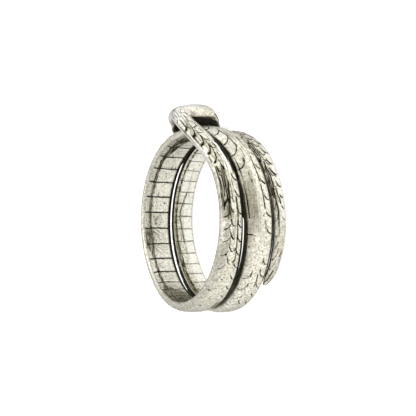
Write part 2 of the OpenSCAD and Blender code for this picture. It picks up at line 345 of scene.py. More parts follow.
def groove(route, width):
    """1 on a worn line over the skin and 0 away from it, exp(-(d / width)^2), where d is the distance
    in millimetres to the nearest stretch of the route, whose points are turn and place."""
    out_of_reach = 9.0
    nearest = np.full(turn_grid.shape, out_of_reach)
    for (turn_a, place_a), (turn_b, place_b) in zip(route[:-1], route[1:]):
        start, end = np.interp((turn_a, turn_b), turns[:, 0], run_mm)
        side_run = (place_b - place_a) * skin_half
        from_a, side_from_a = along_mm - start, across_mm - place_a * skin_half
        share = (from_a * (end - start) + side_from_a * side_run) / ((end - start) ** 2 + side_run ** 2)
        share = np.clip(share, 0, 1)
        away = np.hypot(from_a - share * (end - start), side_from_a - share * side_run)
        nearest = np.minimum(nearest, away)
    return np.exp(-(nearest / width) ** 2)


def grooves(routes, width):
    """The largest of the grooves along several routes."""
    return np.max([groove(route, width) for route in routes], axis=0)


def round_marks(table):
    """1 on round marks of the skin and 0 away from them, exp(-(d / size)^2), where d is the distance
    in millimetres to the nearest mark's turn and place."""
    return np.max([
        np.exp(-(np.hypot(along_mm - np.interp(turn, turns[:, 0], run_mm),
                          across_mm - mark_place * skin_half) / size) ** 2)
        for turn, mark_place, size in table], axis=0)


# The lines that a graver left beside and between the rows of scales, each a route over the back
BACK_LINES = (
    # Neck
    ((4.7, 0.91), (2.9, 0.72), (1, 0.46), (-2, 0.24)), ((6.8, -0.07), (7.8, -0.3)),
    ((10, 0.1), (12.4, 0.01)), ((10.6, 0.82), (11.2, 0.94)),
    ((12, 0.68), (15, 0.68), (18, 0.72), (20, 0.74)),
    ((13.4, 0.18), (15.3, 0.12), (15.9, -0.13), (18.3, -0.15), (21, -0.1)),
    ((20.8, 0.6), (22.6, 0.28), (21.6, -0.02)), ((23, 0.47), (25, 0.48), (27, 0.55), (28.7, 0.66)),
    ((24, 0), (27, -0.12)), ((28.2, 0.38), (28.4, 0.11), (28.9, 0.04)),
    ((30.3, 0.33), (32.8, 0.38), (35, 0.46), (36.3, 0.55)), ((34.4, 0.23), (36.6, 0.07)),
    ((38, -0.02), (42, -0.14)), ((38.1, 0.34), (40.3, 0.34), (42.5, 0.47), (44.2, 0.57)),
    ((41, 0.28), (43, 0.16)), ((45, 0.32), (48.5, 0.36)), ((46, 0.3), (50, 0.4), (52.5, 0.56)),
    ((52, 0.32), (55, 0.28), (58.5, 0.2)), ((56, 0.64), (60, 0.6)),
    # First coil
    ((67, 0.14), (72, 0.2), (80, 0.27)), ((77, -0.22), (84, -0.25)),
    ((78, 0.4), (80.5, 0.6), (82, 0.66)),
    ((85, -0.27), (92, -0.27), (94, -0.2), (95, -0.26), (101, -0.26)),
    ((101, -0.24), (107, -0.26), (109, -0.1)), ((110, -0.27), (115, -0.26), (116.5, -0.12)),
    # Second coil
    ((372, 0.6), (380, 0.7), (395, 0.74), (418, 0.76)),
    ((374, 0), (381, 0.14), (391, 0.15), (400, 0.13)), ((389, -0.86), (392, -0.56)),
    ((397, -0.8), (402, -0.54)), ((409, -0.28), (413, -0.25), (427, -0.24)), ((410, 0.2), (413, 0.24)),
    ((429, -0.25), (437, -0.24), (444, -0.24)), ((451, -0.21), (456, -0.22)),
    ((459, 0.8), (459.3, 0.5)), ((474, -0.27), (477, -0.26)), ((482, -0.24), (484, -0.26)),
    ((483, 0.24), (487, 0.26)), ((485, -0.16), (491, -0.22), (495, -0.2)),
    ((492, 0.22), (495, 0.27), (494, 0.16)), ((509, 0.24), (511, 0.14), (513.5, 0)),
    # Tail
    ((750, 0.72), (751.5, 0.34)), ((769, 0.06), (772, -0.3)),
    ((770, 0.38), (776, 0.38), (781, 0.27), (787, 0.3), (795, 0.38)),
    ((775, 0.1), (778, -0.02), (781.5, -0.3)), ((790, 0.12), (796, -0.02)),
    ((795, 0.38), (801, 0.28), (805, 0.2), (812, 0.24), (815, 0.24)), ((796, -0.1), (800, -0.18)),
    ((832, -0.6), (835.2, -0.3)), ((846.4, 0.02), (850.5, 0.15), (855, 0.4), (859.5, 0.8)),
)
back_lines = grooves(BACK_LINES, width=0.065) * on_back
# Finer strokes of the same tool, along and between the scales
HAIRLINES = (
    # Head
    ((-19.9, -0.13), (-20.7, -0.11)),
    # Neck
    ((1, 0.62), (5, 0.66)), ((3, 0.55), (7, 0.5), (11, 0.62)), ((3, 0.12), (7, 0.16)),
    ((4, 1.04), (20, 1), (34, 1.02)), ((4, -0.2), (9, -0.22), (12, -0.16)),
    ((5, 0.3), (9, 0.3), (13, 0.42)), ((6, 0.75), (10, 0.72)), ((6, 0.9), (9, 0.88)),
    ((7, -0.36), (12, -0.4), (20, -0.42)), ((8, 0.5), (12, 0.42), (16, 0.46)), ((9, 0.16), (13, 0.12)),
    ((12, -0.32), (22, -0.38), (27, -0.28)), ((14, 0.45), (18, 0.52), (19.8, 0.66)),
    ((14, 0.2), (17, 0.3)), ((16, 0.02), (20, 0.12)), ((21.5, 0.16), (24, 0.3)),
    ((22, -0.2), (26, -0.14)), ((22, 0.62), (27, 0.66)), ((24, 0.76), (30, 0.78), (38, 0.76)),
    ((26, 0.85), (36, 0.85)), ((29.5, -0.32), (36, -0.25), (38.8, -0.3)), ((30, 0.6), (35, 0.62)),
    ((30, 0.86), (40, 0.84)), ((31, -0.12), (35, -0.02)), ((34, -0.1), (40, -0.02), (46, -0.06)),
    ((36, 0.28), (42, 0.22)), ((38, 0.12), (43, 0.02)), ((39, 0.58), (43, 0.6)),
    ((42, 0.1), (50, 0.16)), ((44, -0.3), (54, -0.36)), ((44, 0.76), (52, 0.78)), ((44, 0), (49, -0.1)),
    ((47, 0.58), (51, 0.58)), ((47, 0.84), (55, 0.86)), ((48, 0.1), (56, 0.06)),
    ((50, -0.12), (60, -0.06)), ((52, 0.2), (60, 0.1)), ((55, 0.74), (70, 0.76), (88, 0.82)),
    ((57, 0.2), (62, 0.24), (67, 0.14)), ((58, 0.34), (66, 0.32), (70, 0.36)), ((59, 0.9), (70, 0.92)),
    # First coil
    ((60, 0.44), (66, 0.42), (78, 0.4)), ((62, 0.62), (63, 0.53), (68, 0.5), (76, 0.57)),
    ((62, -0.02), (72, 0.04), (80, 0.02)), ((64, 0.68), (74, 0.7), (84, 0.68)),
    ((66, -0.14), (76, -0.1)), ((70, 0.26), (76, 0.34), (86, 0.34)), ((74, 0.9), (86, 0.93)),
    ((76, -0.3), (88, -0.34)), ((80, 0.27), (89, 0.26)), ((82, 0.44), (90, 0.42)),
    ((84, 0.1), (94, 0.12), (100, 0.08)), ((90, -0.06), (102, -0.04)), ((98, 0.22), (106, 0.26)),
    # Second coil
    ((368, 0.02), (378, 0.06), (390, 0.02)), ((370, -0.2), (382, -0.16), (395, -0.22)),
    ((372, -0.38), (386, -0.34), (402, -0.4)), ((380, -0.08), (394, -0.1)), ((390, -0.3), (408, -0.28)),
    ((396, 0.1), (404, 0.02), (412, 0)), ((400, -0.14), (410, -0.18)),
    ((404, 0.66), (416, 0.62), (430, 0.66), (449, 0.69)), ((408, 0.08), (411, 0.06)),
    ((421, 0.24), (427, 0.2)),
    # Tail
    ((748, 0.46), (756, 0.42), (766, 0.46)), ((752, 0.62), (764, 0.6)), ((758, 0.3), (768, 0.26)),
    ((766, 0.72), (778, 0.74)), ((774, 0.52), (786, 0.5), (796, 0.54)), ((782, 0.66), (794, 0.64)),
    ((816, 0.12), (818.5, 0.14), (821, 0.36), (821.7, 0.7)),
    ((824.5, 0.12), (827.5, 0.4), (829.9, 0.67)),
    ((829, 0.1), (832.5, 0.08), (835, 0.25), (837.6, 0.62)), ((837.5, -0.55), (840, -0.57)),
    ((838.5, 0.12), (840, 0.15), (842.2, 0.33), (845.5, 0.68)),
    ((845.8, 0), (848.5, 0.15), (851.5, 0.55)), ((850, -0.25), (854.7, -0.38), (858.8, -0.3)),
)
hairlines = grooves(HAIRLINES, width=0.045) * on_back
# The hollow beside each of the neck's long scales, sunk a little and darkened with painted shade: routes
SHADED_HOLLOWS = (
    ((16, 0.34), (19, 0.5), (20.8, 0.74)), ((24.5, 0.38), (27, 0.44), (29.2, 0.6)),
    ((32, 0.26), (35, 0.34), (37.5, 0.54)), ((39.5, 0.24), (43, 0.36), (45.6, 0.56)),
    ((47, 0.24), (51, 0.32), (53.2, 0.52)),
)
shaded_hollows = grooves(SHADED_HOLLOWS, width=0.18) * on_back
# The deep marks of the graver's corner: turn, place, size in millimetres
GOUGES = (
    # Head
    (-20.9, -0.1, 0.09), (-20.3, -0.12, 0.09), (-16.9, -0.35, 0.06), (-8.6, -0.14, 0.06),
    # Neck
    (7.1, 0.13, 0.1), (20.6, 0.84, 0.17), (21.1, -0.1, 0.09), (28, -0.16, 0.07), (28.7, 0.71, 0.17),
    (35.5, 0.14, 0.08), (36.9, 0.68, 0.17), (45, 0.67, 0.16), (52.8, 0.62, 0.12), (58.5, 0.19, 0.1),
    # First coil
    (80.5, 0.6, 0.09), (111.5, 0.4, 0.11), (129, 0.22, 0.09), (139, 0.66, 0.1), (157, 0.47, 0.1),
    # Second coil
    (427, 0, 0.07), (448, -0.12, 0.08), (467, 0.66, 0.09),
    # Tail
    (742.5, 0.64, 0.11), (768.5, 0.64, 0.11), (837.4, 0.62, 0.06), (845.3, 0.66, 0.06),
)
gouges = round_marks(GOUGES) * on_back

# On each side of the head an eye sits in a socket under a brow, and a nostril is drilled near the snout
eye_share, eye_out, eye_up, eye_d = 0.76, 0.74, 0.72, 0.75
eye_place, brow_place, nostril_share, nostril_place = 0.585, 0.47, 0.945, 0.44
rim_width, brow_l, brow_width, nostril_width = 0.16, 0.75, 0.2, 0.16
along_from_eye = head_l * (eye_share - head_share)
from_eye = np.hypot(along_from_eye, (np.abs(across_mm) - eye_place * skin_half))
socket = np.exp(-((from_eye - 0.5 * eye_d) / rim_width) ** 2) * on_back * head_part
off_brow = np.abs(across_mm) - brow_place * skin_half
brow = np.exp(-(along_from_eye / brow_l) ** 2 - (off_brow / brow_width) ** 2) * on_back * head_part
off_nostril = np.abs(across_mm) - nostril_place * skin_half
from_nostril = np.hypot(head_l * (nostril_share - head_share), off_nostril)
nostril = np.exp(-(from_nostril / nostril_width) ** 2) * on_back * head_part

# A scale rises to its free end, and the next one starts in the cut below it
scale_rise, scale_cut, cut_width = 0.08, 0.07, 0.07
scale_part = counts - np.floor(counts)
past_end = np.abs(counts - np.round(counts)) * lengths
scale_relief = scale_rise * scale_part ** 2 - scale_cut * np.exp(-(past_end / cut_width) ** 2)
brow_rise, socket_depth, nostril_depth, mouth_depth, mouth_width = 0.12, 0.08, 0.14, 0.1, 0.12
back_relief = (sharpness * scale_relief).sum(axis=-1) * ~head_part + pillow
back_relief = back_relief + brow_rise * brow - socket_depth * socket
back_relief -= nostril_depth * nostril + mouth_depth * mouth_shown * np.exp(-(mouth / mouth_width) ** 2)
# The neck's near-head edge is a low ridge
ridge_rise, ridge_place, ridge_width = 0.03, 0.97, 0.07
neck_ridge = ridge_rise * stretch(turn_grid, 2, 8, neck_foot - 6, neck_foot + 6)
back_relief += neck_ridge * np.exp(-((place - ridge_place) / ridge_width) ** 2)
gouge_depth, line_depth, hairline_depth, hollow_depth = 0.16, 0.07, 0.04, 0.04
back_relief -= (gouge_depth * gouges + line_depth * back_lines + hairline_depth * hairlines
                + hollow_depth * shaded_hollows)

# The belly is cut into plates by lines across it, shallower on the second coil: turn, number of line
PLATES = np.array([
    (-30, -23), (211, 1), (219.5, 2), (229.5, 3), (274.3, 7), (329.5, 12), (570, 37), (604.5, 41),
    (640.5, 45), (683, 50), (860, 71),
])
plate_l, plate_line_width, second_shallower = 1.7, 0.08, 0.4
past_neck = ease(30, 45, turn_grid)
plate_number = np.interp(turn_grid, PLATES[:, 0], PLATES[:, 1])
plate_part = np.abs(plate_number - np.round(plate_number)) * plate_l
plate_depth = 1 - second_shallower * ease(545, 570, turn_grid)
belly_shown = on_belly * past_neck * (1 - ease(835, 850, turn_grid)) * plate_depth
plate_line = np.exp(-(plate_part / plate_line_width) ** 2) * belly_shown
# Past the crease, the belly's head side slopes away from the finger: turn, place
CREASE = (
    (30, 0.56), (210, 0.52), (250, 0.48), (263, 0.54), (316, 0.56), (320, 0.6), (324, 0.52),
    (329, 0.58), (333, 0.53), (338, 0.6), (342, 0.55), (350, 0.62), (545, 0.62), (590, 0.7),
    (635, 0.76), (648, 0.7), (670, 0.66), (690, 0.64), (835, 0.64),
)
crease_turns, crease_places = np.array(CREASE).T
crease_at = np.interp(turn_grid, crease_turns, crease_places)
chamfer = np.clip((belly_places - crease_at) / (1 - crease_at), 0, 1) * on_belly * past_neck
crease_line = groove(CREASE, width=0.07) * on_belly
# Painted shade lies with the sulphide in a band along the crease, which near turn 190 spreads over the
# whole belly, and in its corner: turn, its middle, half its breadth, how dark it is, how dark the corner
# itself is
CREASE_SHADE = np.array([
    (158, 0, 1.3, 0, 0), (184, 0, 1.3, 0.84, 0), (196, 0, 1.3, 0.7, 0), (207, 0.2, 1, 0.56, 0.3),
    (215, 0.53, 0.09, 0.62, 0.8), (244, 0.54, 0.1, 0.62, 0.8), (250, 0.62, 0.34, 0.66, 0.5),
    (262, 0.6, 0.32, 0.66, 0.5), (264, 0.54, 0.1, 0.62, 0.8), (300, 0.54, 0.11, 0.66, 0.5),
    (316, 0.56, 0.12, 0.84, 0.95), (322, 0.44, 0.24, 0.84, 0.95), (334, 0.3, 0.36, 0.8, 0.95),
    (345, 0.2, 0.46, 0.8, 0.95), (352, 0.55, 0.1, 0, 0), (538, 0.74, 0.26, 0, 0),
    (544, 0.74, 0.26, 0.76, 0.3), (602, 0.78, 0.24, 0.7, 0.3), (628, 0.84, 0.17, 0.62, 0.6),
    (642, 0.72, 0.07, 0.7, 1), (692, 0.64, 0.06, 0.7, 1), (700, 0.64, 0.05, 0, 0),
])
band_middle, band_half, crease_shade, crease_corner_shade = [
    np.interp(turn_grid, CREASE_SHADE[:, 0], CREASE_SHADE[:, column]) for column in range(1, 5)]
off_band = (np.abs(belly_places - band_middle) - band_half) * skin_half
off_corner = np.abs(belly_places - crease_at) * skin_half
# A thin crack wanders over the plates of the second coil and runs out faintly at both ends
CRACK = ((613, 0.02), (622, 0.13), (626, 0.2), (630, 0.34), (635, 0.34), (640, 0.15), (649, -0.2))
CRACK_ENDS = (((600, -0.12), (613, 0.02)), ((649, -0.2), (660, -0.22), (668, -0.15)))
faintly = 0.5
crack = np.maximum(groove(CRACK, width=0.06), faintly * grooves(CRACK_ENDS, width=0.05)) * on_belly
# Scratches fan out over three of the first coil's plates, where a tool slipped, and a few lie singly
SCRATCHES = (
    ((236, 0.4), (231, -0.1)), ((251, 0.45), (243, -0.2)), ((251, 0.3), (246, -0.5)),
    ((251.5, 0.1), (249, -0.6)), ((261, 0.3), (256, -0.5)), ((262, 0.45), (254, -0.3)),
    ((262, 0.1), (258, -0.6)), ((262.5, 0.45), (253, 0.1)), ((270, -0.5), (265, -0.2)),
    ((272, -0.1), (269, 0.1)), ((273, 0.3), (265, 0)), ((273, -0.3), (266, 0.2)),
    ((290, 0.1), (284, 0)), ((305, -0.1), (299, -0.3)), ((311, -0.45), (306, -0.4)),
    ((322, 0.1), (317, -0.2)), ((328, -0.1), (322, -0.35)),
)
scratches = grooves(SCRATCHES, width=0.04) * on_belly
# Casting flaws in the plates, and the ends of the plates' lines: turn, place, size in millimetres
BELLY_MARKS = (
    # First coil
    (195, -0.6, 0.12), (200, 0.2, 0.14), (230, 0.55, 0.09), (240.5, 0.62, 0.07), (252, 0.62, 0.07),
    (267, -0.55, 0.05), (274.5, 0.6, 0.08), (281, -0.55, 0.1), (286, 0.58, 0.1), (297, 0.6, 0.09),
    (308, 0.3, 0.07), (309, -0.7, 0.08),
    # Second coil
    (571, 0.35, 0.09), (578, 0.2, 0.1), (615, 0.3, 0.05), (640, -0.6, 0.05), (667, 0.45, 0.07),
)
belly_spots = round_marks(BELLY_MARKS) * on_belly
plate_line_depth, crease_depth, crack_depth, chamfer_rise = 0.08, 0.04, 0.05, 0.18
belly_relief = (plate_line_depth * plate_line + crease_depth * crease_line + crack_depth * crack
                + chamfer_rise * chamfer)

points = on_snake(turn_grid, across, up + np.where(on_back, back_relief, 0) + belly_relief)

# Where sulphide has settled and no cloth reaches, with painted shade: the walls between coils are painted
# dark for the next coil's shade, and the left halves of the second coil and the tail darker as a painted
# reflection of the tent's dark opening: from turn, to turn, from place, to place, how dark
BACK_PATINA_AND_SHADE = (
    # Neck
    (9, 20, -1.4, -0.5, 1.1), (18, 58, 0.44, 0.8, 0.08), (20, 31, -1.4, -0.52, 0.7),
    (30, 38, -1.4, -0.45, 1.2), (36, 52, -1.4, -0.3, 1.1), (50, 61, -1.4, -0.42, 1.2),
    (56, 90, 0.14, 0.78, 0.44), (58, 98, -1.4, -0.6, 1.6),
    # First coil
    (60, 112, -0.45, 0.2, 0.1), (98, 372, -1.4, -0.55, 1.6), (104, 124, 0.3, 0.9, 0.22),
    (112, 152, -0.5, 0.9, 0.13), (150, 163, -0.6, -0.22, 0.55), (152, 184, -0.5, 0.9, 0.18),
    (200, 345, 0.8, 1.4, 0.07),
    # Second coil
    (366, 424, 0.77, 1.4, 1.02), (396, 420, 0.14, 0.72, 0.2), (398, 492, -1.4, -0.6, 0.9),
    (412, 440, 0.1, 0.72, 0.34), (416, 458, 0.02, 0.76, 0.3), (424, 500, 0.76, 1.4, 0.74),
    (424, 484, 1, 1.4, 1.5), (424, 451, 0.14, 0.7, 0.46), (494, 560, 0.78, 1.4, 0.56),
    (552, 596, 0.78, 1.14, 0.95), (596, 735, 0.84, 1.14, 1.5),
    # Tail
    (738, 806, 0.26, 0.84, 0.3), (738, 832, 0.8, 1.02, 0.66), (742, 862, -0.6, 0.9, 0.08),
    (744, 800, 0.5, 0.84, 0.44), (748, 830, 1, 1.4, 1.6), (826, 858, 0.84, 1.4, 1.6),
)
# The belly in the same terms, painted shade and sulphide alike
BELLY_PATINA_AND_SHADE = (
    # Under the neck: painted shade in the hollow, with sulphide
    (0, 30, -1.2, 1.2, 1.2),
    # First coil: painted shade along the tail edge, which faces the next coil, and a few darker patches
    (185, 352, -1.2, -0.92, 1.6), (242, 251, 0.1, 0.46, 0.12), (252, 262, -0.2, 0.46, 0.11),
    (264, 273, -0.4, 0.5, 0.15),
)


def patch(from_turn, to_turn, from_place, to_place, strength):
    """A patch of the skin with soft edges: its strength times a smooth step in and out along the
    turn, over 6 degrees, and the same across, over 0.1 of the half breadth."""
    edge = 3
    lengthways = stretch(turn_grid, from_turn - edge, from_turn + edge, to_turn - edge, to_turn + edge)
    edge = 0.05
    sideways = stretch(side_place, from_place - edge, from_place + edge, to_place - edge, to_place + edge)
    return strength * lengthways * sideways


def patches(table):
    """The strongest of several patches at each point."""
    return np.max([patch(*row) for row in table], axis=0)


back_patina_and_shade = patches(BACK_PATINA_AND_SHADE) * ~on_belly
belly_patina_and_shade = patches(BELLY_PATINA_AND_SHADE) * on_belly
# The hollow under the head is painted dark as well: painted shade, with the sulphide that no cloth reaches
# there
shade_under_head = on_belly * (1 - ease(6, 24, turn_grid))
# Where the cloth rubbed hardest, and painted highlight where the skin is made brighter for the light on it,
# on the neck's edges, the tail's right row and the inside of the second coil; in the same terms: how bright
BACK_POLISH_AND_HIGHLIGHT = (
    # Head
    (-40, -9, -0.5, 1.4, 0.5), (-9, 0, -0.5, 1.4, 1), (-2, 14, 0.14, 1.4, 1),
    # Neck
    (0, 28, -0.3, 0.2, 0.6), (0, 58, 0.8, 1.4, 0.6), (28, 58, -0.38, -0.14, 0.8),
    # Second coil
    (360, 390, -0.9, 0.8, 0.45),
    # Tail
    (740, 812, -0.9, -0.1, 0.5),
)
BELLY_POLISH_AND_HIGHLIGHT = (
    # First coil
    (215, 340, -0.85, 0.36, 0.55), (215, 345, 0.66, 1.2, 0.35),
    # Second coil
    (576, 645, -1.2, -0.06, 1), (645, 692, -0.9, 0.5, 0.8),
)
polish_and_highlight = patches(BACK_POLISH_AND_HIGHLIGHT) * ~on_belly + patches(BELLY_POLISH_AND_HIGHLIGHT) * on_belly
# Every cut holds sulphide too, the more the deeper it is. The painted shade under the head and in the
# neck's hollows joins the same sum
patina_and_shade = (back_patina_and_shade + belly_patina_and_shade + 0.8 * shade_under_head + 1.3 * gouges + 1.15 * back_lines
          + 0.72 * hairlines + 0.65 * scratches + 1.1 * np.maximum(socket, nostril) + 0.3 * shaded_hollows
          + 1.1 * crack + 1.3 * belly_spots)


def skin_mesh(name, grid, ends):
    """A closed skin from a grid of points [ring, place round the ring, xyz]: quads join each ring to
    the next, round and round, and a fan closes each end on its middle point."""
    rings, around = grid.shape[:2]
    i, j = np.meshgrid(np.arange(rings - 1) * around, np.arange(around), indexing="ij")
    next_j = (j + 1) % around
    quads = np.stack([i + j, i + next_j, i + around + next_j, i + around + j], axis=-1)
    first, last = np.arange(around), (rings - 1) * around + np.arange(around)
    first_middle = np.full(around, rings * around)
    first_fan = np.stack([first_middle, np.roll(first, -1), first], axis=-1)
    last_fan = np.stack([first_middle + 1, last, np.roll(last, -1)], axis=-1)
    faces = quads.reshape(-1, 4).tolist() + first_fan.tolist() + last_fan.tolist()
    mesh = bpy.data.meshes.new(name)
    mesh.from_pydata(np.vstack([grid.reshape(-1, 3), ends]).tolist(), [], faces)
    mesh.shade_smooth()
    mesh.update()
    return mesh


def carry(mesh, name, values):
    """Puts one number or one vector for each point of the skin into a named attribute, and 0 for the
    middle points of its two ends."""
    kind, field, parts = ("FLOAT_VECTOR", "vector", 3) if values.ndim == 3 else ("FLOAT", "value", 1)
    flat = np.vstack([values.reshape(-1, parts), np.zeros((2, parts))])
    layer = mesh.attributes.new(name, kind, "POINT")
    layer.data.foreach_set(field, flat.ravel().astype(np.float32))


# The snout's point lies two steps past the middle of the first ring, and the tail's one past the last
ring_middles = points.mean(axis=1)
snout_point = ring_middles[0] + (ring_middles[0] - ring_middles[2])
tip_point = ring_middles[-1] + (ring_middles[-1] - ring_middles[-2])
casting_mesh = skin_mesh("silver_snake", points, np.array([snout_point, tip_point]))
carry(casting_mesh, "scale_counts", counts)
carry(casting_mesh, "scale_sharpness", sharpness)
carry(casting_mesh, "scale_lengths", lengths)
carry(casting_mesh, "belly_lines", np.stack([plate_number, belly_shown, crease_corner_shade * on_belly], axis=-1))
carry(casting_mesh, "crease", np.stack([off_band, off_corner, crease_shade * on_belly], axis=-1))
# The third number keeps the belly's rubbing marks from repeating those of the back
belly_apart = 3.0
carry(casting_mesh, "skin_place", np.stack([along_mm, across_mm, belly_apart * on_belly], axis=-1))
carry(casting_mesh, "patina_and_shade", patina_and_shade)
carry(casting_mesh, "polish_and_highlight", polish_and_highlight)


def put(name, data):
    """A new object of that name in the scene, at the origin, with that mesh, light or camera."""
    thing = bpy.data.objects.new(name, data)
    bpy.context.scene.collection.objects.link(thing)
    return thing


casting = put("silver_snake", casting_mesh)


def hex_linear(code):
    """An sRGB hex value as linear red, green, blue and alpha 1: a channel c becomes c / 12.92 up to
    0.04045, and ((c + 0.055) / 1.055)^2.4 above it."""
    channels = [int(code[i:i + 2], 16) / 255 for i in (1, 3, 5)]
    return [c / 12.92 if c <= 0.04045 else ((c + 0.055) / 1.055) ** 2.4 for c in channels] + [1]


def node(tree, kind, inputs, **settings):
    """Adds a node of that kind with its settings, and fills its inputs, given by name or number, with
    numbers and colours or with links from other nodes' outputs. A node stands for its first output.
    By number, a Map Range reads the range of its 1 and 2 and gives that of its 3 and 4, and a Mix goes
    from its 6 to its 7 by the share in its 0."""
    new = tree.nodes.new("ShaderNode" + kind)
    for name, value in settings.items():
        setattr(new, name, value)
    for name, value in inputs.items():
        source = value.outputs[0] if isinstance(value, bpy.types.Node) else value
        if isinstance(source, bpy.types.NodeSocket):
            tree.links.new(source, new.inputs[name])
        else:
            new.inputs[name].default_value = source
    return new


# Antique silver: 925 silver cast and tumbled, dipped in liver of sulphur until black, then rubbed
# back, so that the cuts and casting pits stay black and the raised skin is a soft warm white. Painted shade
# is mixed into the black, and painted highlight into the white
silver = bpy.data.materials.new("antique_silver")
silver.use_nodes = True
tree = silver.node_tree
tree.nodes.clear()
coords = node(tree, "TexCoord", {}).outputs["Object"]
skin_place = node(tree, "Attribute", {}, attribute_name="skin_place").outputs["Vector"]
count_here, sharp_here, length_here, plates_here, crease_here = [
    node(tree, "SeparateXYZ", {
        0: node(tree, "Attribute", {}, attribute_name=name).outputs["Vector"]}).outputs
    for name in ("scale_counts", "scale_sharpness", "scale_lengths", "belly_lines", "crease")]
# The patina map holds painted shade as well as sulphide
patina_and_shade_map = node(tree, "Attribute", {}, attribute_name="patina_and_shade").outputs["Fac"]
polish_and_highlight_map = node(tree, "Attribute", {}, attribute_name="polish_and_highlight").outputs["Fac"]

# The grain of the cast skin and the blotches of uneven rubbing are finer than a pixel on the real
# ring, and are drawn coarse enough to show. Rubbing marks are drawn out along the run, 1.1 mm long
# and 0.14 mm broad, and worn edges wander by 0.03 to 0.06 mm in every 0.45 mm
grain_mm, blotch_mm, wander_mm, wander_by = 0.21, 0.25, 0.45, 0.05
marks_per_mm = (0.9, 7.0, 1.0)
skin_grain = node(tree, "TexNoise", {
    "Vector": coords, "Scale": 1000 / grain_mm, "Detail": 2.0, "Roughness": 0.7})
blotch_noise = node(tree, "TexNoise", {
    "Vector": coords, "Scale": 1000 / blotch_mm, "Detail": 3.0, "Roughness": 0.75})
drawn_out = node(tree, "Mapping", {"Vector": skin_place, "Scale": marks_per_mm}, vector_type="POINT")
rub_marks = node(tree, "TexNoise", {"Vector": drawn_out, "Scale": 1.0, "Detail": 4.0, "Roughness": 0.6})
wander = node(tree, "TexNoise", {"Vector": coords, "Scale": 1000 / wander_mm, "Detail": 2.0})
ragged = node(tree, "MapRange", {"Value": wander, 1: 0.3, 2: 0.7, 3: -wander_by, 4: wander_by})

# Along every scale's end runs a black cut, 0.12 mm wide and ragged as a worn edge is
cut_lines = 0.0
for count, sharp, length in zip(count_here, sharp_here, length_here):
    worn_count = node(tree, "Math", {0: ragged, 1: 0.6, 2: count}, operation="MULTIPLY_ADD")
    away = node(tree, "Math", {0: worn_count, 1: 0.5}, operation="PINGPONG")
    away_mm = node(tree, "Math", {0: away, 1: length}, operation="MULTIPLY")
    cut = node(tree, "MapRange", {"Value": away_mm, 1: 0.04, 2: 0.085, 3: 1.0, 4: 0.0})
    shown = node(tree, "Math", {0: cut, 1: sharp}, operation="MULTIPLY")
    cut_lines = node(tree, "Math", {0: cut_lines, 1: shown}, operation="MAXIMUM")
# The belly's plates are parted by cuts of the same kind
plate_count = node(tree, "Math", {0: ragged, 1: 0.4, 2: plates_here[0]}, operation="MULTIPLY_ADD")
plate_away = node(tree, "Math", {0: plate_count, 1: 0.5}, operation="PINGPONG")
plate_cut = node(tree, "MapRange", {"Value": plate_away, 1: 0.022, 2: 0.055, 3: 1.0, 4: 0.0})
plate_cut = node(tree, "Math", {0: plate_cut, 1: plates_here[1]}, operation="MULTIPLY")
cuts = node(tree, "Math", {0: cut_lines, 1: plate_cut}, operation="MAXIMUM")
# In places the cloth has reached into a cut
filled = node(tree, "MapRange", {"Value": blotch_noise, 1: 0.36, 2: 0.5, 3: 0.7, 4: 1.0})
cuts = node(tree, "Math", {0: cuts, 1: filled}, operation="MULTIPLY")

# Casting pits keep black too, less of it where the skin is polished and where highlight is painted, and a
# thin veil of it stays where the cloth passed lightly
pits_left = node(tree, "Math", {0: -0.3, 1: polish_and_highlight_map, 2: 1.0}, operation="MULTIPLY_ADD")
pits = node(tree, "MapRange", {"Value": skin_grain, 1: 0.54, 2: 0.66, 3: 0.0, 4: 0.46})
pits = node(tree, "Math", {0: pits, 1: pits_left}, operation="MULTIPLY")
veil = node(tree, "MapRange", {"Value": rub_marks, 1: 0.5, 2: 0.7, 3: 0.0, 4: 0.14})
worn = node(tree, "MapRange", {"Value": rub_marks, 1: 0.34, 2: 0.62, 3: 0.75, 4: 1.2})
worn_patina_and_shade = node(tree, "Math", {0: patina_and_shade_map, 1: worn}, operation="MULTIPLY", use_clamp=True)
# The crease's painted shade: a band with ragged sides, and a thin line in its corner, 0.1 mm wide
band_away = node(tree, "Math", {0: ragged, 1: 1.2, 2: crease_here[0]}, operation="MULTIPLY_ADD")
band = node(tree, "MapRange", {"Value": band_away, 1: -0.02, 2: 0.04, 3: 1.0, 4: 0.0})
band = node(tree, "Math", {0: band, 1: crease_here[2]}, operation="MULTIPLY")
streaks = node(tree, "MapRange", {"Value": rub_marks, 1: 0.38, 2: 0.6, 3: 0.5, 4: 1.2})
band = node(tree, "Math", {0: band, 1: streaks}, operation="MULTIPLY")
corner_away = node(tree, "Math", {0: ragged, 1: 0.6, 2: crease_here[1]}, operation="MULTIPLY_ADD")
corner = node(tree, "MapRange", {"Value": corner_away, 1: 0.03, 2: 0.065, 3: 1.0, 4: 0.0})
corner = node(tree, "Math", {0: corner, 1: plates_here[2]}, operation="MULTIPLY")
# The blackest of all these shows
black = cuts
for layer in (worn_patina_and_shade, band, corner, pits, veil):
    black = node(tree, "Math", {0: black, 1: layer}, operation="MAXIMUM")

BRIGHT_SILVER = hex_linear("#F4F3EB")
DULL_SILVER = hex_linear("#B6AD93")
THIN_SULPHIDE_AND_SHADE = hex_linear("#6B664E")
THICK_SULPHIDE_AND_SHADE = hex_linear("#15140C")
blotches = node(tree, "MapRange", {"Value": blotch_noise, 1: 0.37, 2: 0.66, 3: 0.0, 4: 1.0})
# Polish and painted highlight take the dull blotches away
dull_share = node(tree, "Math", {0: 1.0, 1: polish_and_highlight_map}, operation="SUBTRACT", use_clamp=True)
blotches = node(tree, "Math", {0: blotches, 1: dull_share}, operation="MULTIPLY")
skin_mix = node(tree, "Mix", {0: blotches, 6: BRIGHT_SILVER, 7: DULL_SILVER}, data_type="RGBA")
